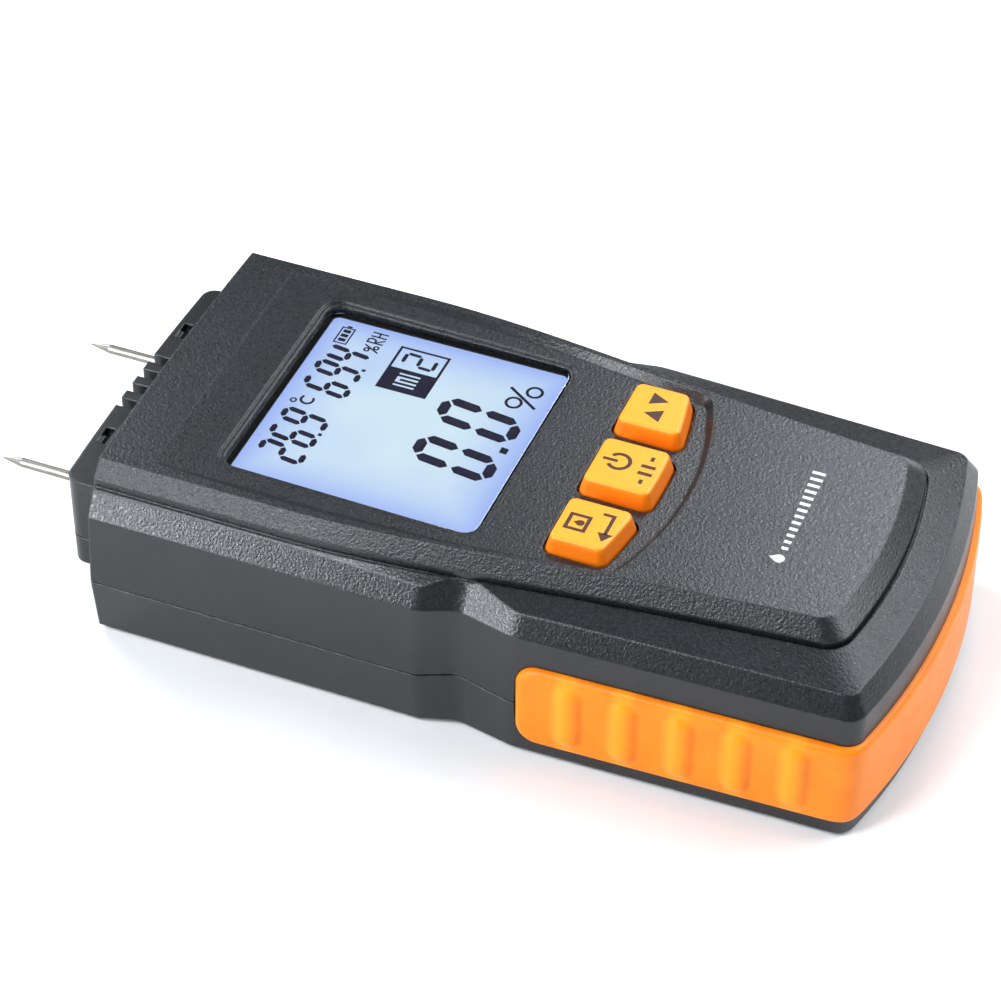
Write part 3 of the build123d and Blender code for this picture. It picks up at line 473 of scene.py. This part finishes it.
def display_marks():
    """What the display shows: temperature, humidity, battery, mode and the reading."""
    glass_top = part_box("lcd_panel")[1].z / MM
    marks = Marks("display_segments", glass_top + PRINT_LIFT, segment_ink, HOUSING)
    row_low, row_height, row_weight, row_slant = 22.6, 7.8, 0.95, 0.13
    fine_line, medium_line, bold_line = 0.3, 0.42, 0.5
    # temperature, in degrees
    marks.figures("269", -14.6, 3.9, row_low, 3.3, row_height, row_weight, row_slant)
    marks.box(-7.25, row_low, -6.65, row_low + 0.6)
    marks.arc((-1.15, 29.9), 0.42, 0.28)
    marks.arc((-0.3, 28.0), 0.95, medium_line, 50, 310)
    # relative humidity
    marks.figures("694", 1.5, 3.8, row_low, 3.2, row_height, row_weight, row_slant)
    marks.box(8.75, row_low, 9.3, row_low + 0.6)
    marks.percent(13.3, row_low, 1.8, 2.6, fine_line)
    bowl = [(16.3, 25.2), (16.6, 24.7), (16.3, 24.0), (15.7, 24.0)]
    marks.stroke([(15.6, 22.6), (15.6, 25.2)] + bowl + [(16.6, 22.6)], fine_line)
    for left in (17.1, 18.0):
        marks.stroke([(left, 22.6), (left, 25.2)], fine_line)
    marks.stroke([(17.1, 23.9), (18.0, 23.9)], fine_line)
    # battery with three bars
    marks.stroke([(13.7, 28.0), (17.4, 28.0), (17.4, 30.0), (13.7, 30.0)], 0.26, closed=True)
    marks.box(17.55, 28.6, 17.95, 29.4)
    for left in (14.15, 15.2, 16.25):
        marks.box(left, 28.4, left + 0.75, 29.6)
    # framed mode number, its left half filled in round three bars
    marks.stroke([(6.6, 11.9), (16.4, 11.9), (16.4, 19.7), (6.6, 19.7)], medium_line, closed=True)
    marks.box(6.8, 12.1, 11.6, 14.2)
    marks.box(6.8, 17.6, 11.6, 19.5)
    marks.box(6.8, 14.2, 7.7, 17.6)
    marks.box(10.7, 14.2, 11.6, 17.6)
    for left, high in ((8.3, 17.6), (9.2, 17.0), (10.1, 17.6)):
        marks.stroke([(left, 14.2), (left, high)], bold_line)
    marks.digit("2", 12.4, 13.0, 3.0, 5.6, 0.62, 0.05)
    # the reading, in per cent
    marks.figures("00", -8.0, 9.2, -4.3, 5.9, 13.4, 1.7, 0.12)
    marks.polygon([(-0.7, -4.3), (0.6, -4.3), (0.7, -3.1), (-0.6, -3.1)])
    marks.arc((10.7, -0.9), 1.15, 0.46)
    marks.arc((14.0, -3.0), 1.15, 0.46)
    marks.stroke([(10.4, -4.4), (13.9, 0.8)], bold_line)
    marks.done()


def key_marks():
    """Pictograms on the three keys, dark on the orange."""
    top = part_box("power_button")[1].z / MM + KEY_PRINT_LIFT
    power = Marks("power_key_mark", top, key_ink, "power_key")
    power.arc((0.4, -21.6), 1.62, 0.62, 125, 415)
    power.stroke([(0.4, -21.4), (0.4, -19.1)], 0.62)
    for left in (-1.15, 0.45):
        power.box(left, -27.1, left + 0.7, -24.9)
    for left in (-3.1, 2.1):
        power.box(left, -26.3, left + 1.0, -25.7)
    power.done()
    choose = Marks("set_key_mark", top, key_ink, "set_key")
    choose.polygon([(10.7, -23.8), (13.5, -23.8), (12.1, -21.0)])
    choose.polygon([(16.9, -21.0), (14.1, -21.0), (15.5, -23.8)])
    choose.done()
    enter = Marks("enter_key_mark", top, key_ink, "enter_key")
    enter.stroke([(-15.6, -22.2), (-12.6, -22.2), (-12.6, -19.4), (-15.6, -19.4)], 0.6, closed=True)
    enter.droplet((-14.1, -21.2), 0.62)
    enter.stroke([(-11.1, -23.6), (-11.1, -25.3), (-15.1, -25.3)], 0.58)
    enter.polygon([(-14.9, -24.1), (-14.9, -26.5), (-16.7, -25.3)])
    enter.done()


def nose_mark():
    """White print below the keys: a drop and a rising scale."""
    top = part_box("front_shell")[1].z / MM + PRINT_LIFT
    mark = Marks("nose_mark", top, white_ink, HOUSING)
    mark.droplet((-9.2, -49.4), 0.85)
    for tick in range(13):
        left = -7.2 + tick * 1.42
        mark.box(left, -50.0, left + 0.62, -49.0 + 0.085 * tick)
    mark.done()


def back_marks():
    """On the back: blank lines of the rating plate and the battery cover's arrow."""
    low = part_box("rating_plate")[0].z / MM - PRINT_LIFT
    plate = Marks("plate_print", low, plate_ink, HOUSING, -1)
    plate.stroke([(-18.4, 10.6), (18.4, 10.6), (18.4, 33.4), (-18.4, 33.4)], 0.3, closed=True)
    plate.droplet((-12.5, 21.0), 3.2)
    for row in range(4):
        plate.box(-6.0, 15.0 + row * 4.2, 14.5 - 2.5 * (row % 2), 15.9 + row * 4.2)
    plate.done()
    cover_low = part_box("battery_cover")[0].z / MM - COVER_PRINT_LIFT
    arrow = Marks("cover_arrow", cover_low, white_ink, "cover", -1)
    arrow.polygon([(-2.2, -27.0), (2.2, -27.0), (0.0, -23.6)])
    arrow.done()


# ---------------------------------------------------------------- grip band
class GripBand:
    """The orange band: softly rounded rim, finger ribs on each side, closed at the back. In millimetres."""

    PROUD = 0.45  # of the housing's wall
    RIM = 1.05  # radius of the rounded rim
    RIM_STEPS = [0.0, 0.06, 0.16, 0.3, 0.5, 0.75]  # mesh lines over the rim
    CORNER = 3.4  # radius of the corners at the band's two starts
    DEPTH = 1.5  # the back lies this far inside the wall
    STEP, ROW_COUNT = 0.34, 34
    RIB_HEIGHT, RIB_RADIUS, RIB_STRAIGHT = 0.93, 2.35, 3.6

    def __init__(self):
        low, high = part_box("grip_band")
        self.middle = (low.z / MM + high.z / MM) / 2
        self.half = (high.z / MM - low.z / MM) / 2
        self.path = self.wall_line()
        self.along = [0.0]
        for before, after in zip(self.path, self.path[1:]):
            self.along.append(self.along[-1] + (after - before).length)
        self.length = self.along[-1]
        self.rib_places = [FIRST_RIB_Y - RIB_PITCH * rib for rib in range(RIB_COUNT)]

    @staticmethod
    def wall_line():
        """The housing's wall seen from above, from one start of the band round the end to the other."""
        start, corner, end = Vector((32.27, -18.5)), Vector((30.6, -68.4)), Vector((0, -72.9))
        rise = corner.y - end.y
        radius = (corner.x ** 2 + rise ** 2) / (2 * rise)
        sweep = math.asin(corner.x / radius)
        side_steps, arc_steps, soft_steps = 150, 100, 32
        points = [start.lerp(corner, step / side_steps) for step in range(side_steps + 1)]
        for step in range(1, arc_steps + 1):
            turn = sweep * (1 - step / arc_steps)
            points.append(Vector((radius * math.sin(turn), end.y + radius * (1 - math.cos(turn)))))
        # soften the corner where the side meets the end arc
        for _ in range(60):
            smooth = [point.copy() for point in points]
            for index in range(side_steps - soft_steps, side_steps + soft_steps):
                smooth[index] = (points[index - 1] + points[index] * 2 + points[index + 1]) / 4
            points = smooth
        return points + [Vector((-point.x, point.y)) for point in reversed(points[:-1])]

    def at(self, distance):
        """Point and outward normal at a distance along the wall line."""
        index = min(max(bisect.bisect_left(self.along, distance), 1), len(self.along) - 1)
        part = (distance - self.along[index - 1]) / (self.along[index] - self.along[index - 1])
        point = self.path[index - 1].lerp(self.path[index], part)
        ahead, behind = self.path[min(index + 1, len(self.path) - 1)], self.path[max(index - 2, 0)]
        way = (ahead - behind).normalized()
        return point, Vector((-way.y, way.x))

    def spread(self, length, count):
        """Places across a length: crowded over the rim at both ends, `count` even steps between."""
        even = [self.RIM + (length - 2 * self.RIM) * step / count for step in range(count + 1)]
        return self.RIM_STEPS + even + [length - place for place in reversed(self.RIM_STEPS)]

    def reach(self, from_start):
        """Half the band's height this far from its nearer start, where its corners are round."""
        if from_start >= self.CORNER:
            return self.half
        return self.half - self.CORNER + math.sqrt(self.CORNER ** 2 - (self.CORNER - from_start) ** 2)

    def stand(self, from_start, height, point):
        """How far the face stands out of the housing's wall."""
        beyond_x = max(self.CORNER - from_start, 0.0)
        beyond_z = max(abs(height) - (self.half - self.CORNER), 0.0)
        if beyond_x > 0 and beyond_z > 0:
            inside = self.CORNER - math.hypot(beyond_x, beyond_z)
        else:
            inside = min(from_start, self.half - abs(height))
        short = min(max(self.RIM - inside, 0.0), self.RIM)
        stand = self.PROUD - (self.RIM - math.sqrt(self.RIM ** 2 - short ** 2))
        if abs(point.x) > 20:
            for y in self.rib_places:
                off = math.hypot(point.y - y, max(abs(height) - self.RIB_STRAIGHT, 0.0)) / self.RIB_RADIUS
                stand += self.RIB_HEIGHT * max(1 - off * off, 0.0)
        return stand

    def columns(self, mesh):
        """The vertices of the face and of the back, column by column along the band."""
        rows = [place / self.half - 1 for place in self.spread(2 * self.half, self.ROW_COUNT)]
        outer, inner = [], []
        for distance in self.spread(self.length, int((self.length - 2 * self.RIM) / self.STEP)):
            point, normal = self.at(distance)
            from_start = min(distance, self.length - distance)
            heights = [row * self.reach(from_start) for row in rows]
            faces = [point + normal * self.stand(from_start, height, point) for height in heights]
            back = point - normal * self.DEPTH
            levels = [self.middle + height for height in heights]
            outer.append([mesh.verts.new(Vector((*spot, z)) * MM) for spot, z in zip(faces, levels)])
            inner.append([mesh.verts.new(Vector((*back, z)) * MM) for z in levels])
        return outer, inner

    def build(self):
        mesh = bmesh.new()
        outer, inner = self.columns(mesh)
        last_row = len(outer[0]) - 1
        for face, next_face, back, next_back in zip(outer, outer[1:], inner, inner[1:]):
            for r in range(last_row):
                mesh.faces.new((face[r], face[r + 1], next_face[r + 1], next_face[r]))
                mesh.faces.new((back[r], next_back[r], next_back[r + 1], back[r + 1]))
            mesh.faces.new((face[0], next_face[0], next_back[0], back[0]))
            mesh.faces.new((face[last_row], back[last_row], next_back[last_row], next_face[last_row]))
        for face, back in ((outer[0], inner[0]), (outer[-1], inner[-1])):
            for r in range(last_row):
                mesh.faces.new((face[r], back[r], back[r + 1], face[r + 1]))
        bmesh.ops.recalc_face_normals(mesh, faces=mesh.faces)
        for face in mesh.faces:
            face.smooth = True
        data = bpy.data.meshes.new("soft_grip_band")
        mesh.to_mesh(data)
        mesh.free()
        data.materials.append(materials["grip_rubber"])
        piece = bpy.data.objects.new("soft_grip_band", data)
        bpy.context.scene.collection.objects.link(piece)
        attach(piece, HOUSING)
        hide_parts("grip_band")


display_marks()
key_marks()
nose_mark()
back_marks()
GripBand().build()


# ---------------------------------------------------------------- stage, light, camera
def make_stage():
    """A wide pale floor just under the meter's back."""
    mesh = bpy.data.meshes.new("floor")
    reach = 3.0
    corners = [(-reach, -reach, 0), (reach, -reach, 0), (reach, reach, 0), (-reach, reach, 0)]
    mesh.from_pydata(corners, [], [(0, 1, 2, 3)])
    floor = bpy.data.objects.new("floor", mesh)
    bpy.context.scene.collection.objects.link(floor)
    floor.location.z = cad_box[0][2] - FLOOR_GAP
    floor.data.materials.append(simple("floor_paper", (0.86, 0.86, 0.86), 0.9, 2.0, (0.84, 0.84, 0.84)))


def make_light(name, place, size, power):
    """A cool rectangular soft box that faces the meter."""
    data = bpy.data.lights.new(name, "AREA")
    data.shape = "RECTANGLE"
    data.size, data.size_y = size
    data.energy = power
    data.color = (0.91, 0.955, 1.0)
    light = bpy.data.objects.new(name, data)
    bpy.context.scene.collection.objects.link(light)
    light.location = place
    light.rotation_euler = (-Vector(place)).to_track_quat("-Z", "Y").to_euler()


def make_camera():
    """The camera stands off the near side of the grip end, well above the meter, with a long lens."""
    azimuth, elevation = math.radians(-67.77), math.radians(42.01)
    distance = 500.2 * MM
    aim = Vector((-12.33, -8.19, 29.6)) * MM
    back = Vector((
        math.sin(azimuth) * math.cos(elevation),
        -math.cos(azimuth) * math.cos(elevation),
        math.sin(elevation),
    ))
    data = bpy.data.cameras.new("camera")
    data.lens = 124.84
    data.sensor_width = 36
    data.clip_start = 0.01
    camera = bpy.data.objects.new("camera", data)
    bpy.context.scene.collection.objects.link(camera)
    camera.location = aim + back * distance
    camera.rotation_euler = back.to_track_quat("Z", "Y").to_euler()
    bpy.context.scene.camera = camera


make_stage()
make_camera()
make_light("main", (-0.42, 0.24, 0.66), (0.26, 0.26), 4.3)
make_light("raking", (-0.22, 0.62, 0.3), (0.2, 0.3), 1.5)
make_light("far_side", (0.25, 0.43, 0.38), (0.24, 0.24), 1.9)
make_light("nose_side", (0.37, -0.02, 0.38), (0.16, 0.16), 0.85)
make_light("near_side", (-0.44, 0.29, 0.2), (0.1, 0.12), 1.6)
make_light("floor_fill", (0.45, -0.6, 0.7), (0.8, 0.8), 11.0)
world = bpy.data.worlds.new("world")
world.use_nodes = True
world.node_tree.nodes["Background"].inputs["Color"].default_value = (1, 1, 1, 1)
world.node_tree.nodes["Background"].inputs["Strength"].default_value = 0.17
bpy.context.scene.world = world
bpy.context.scene.view_settings.view_transform = "Standard"
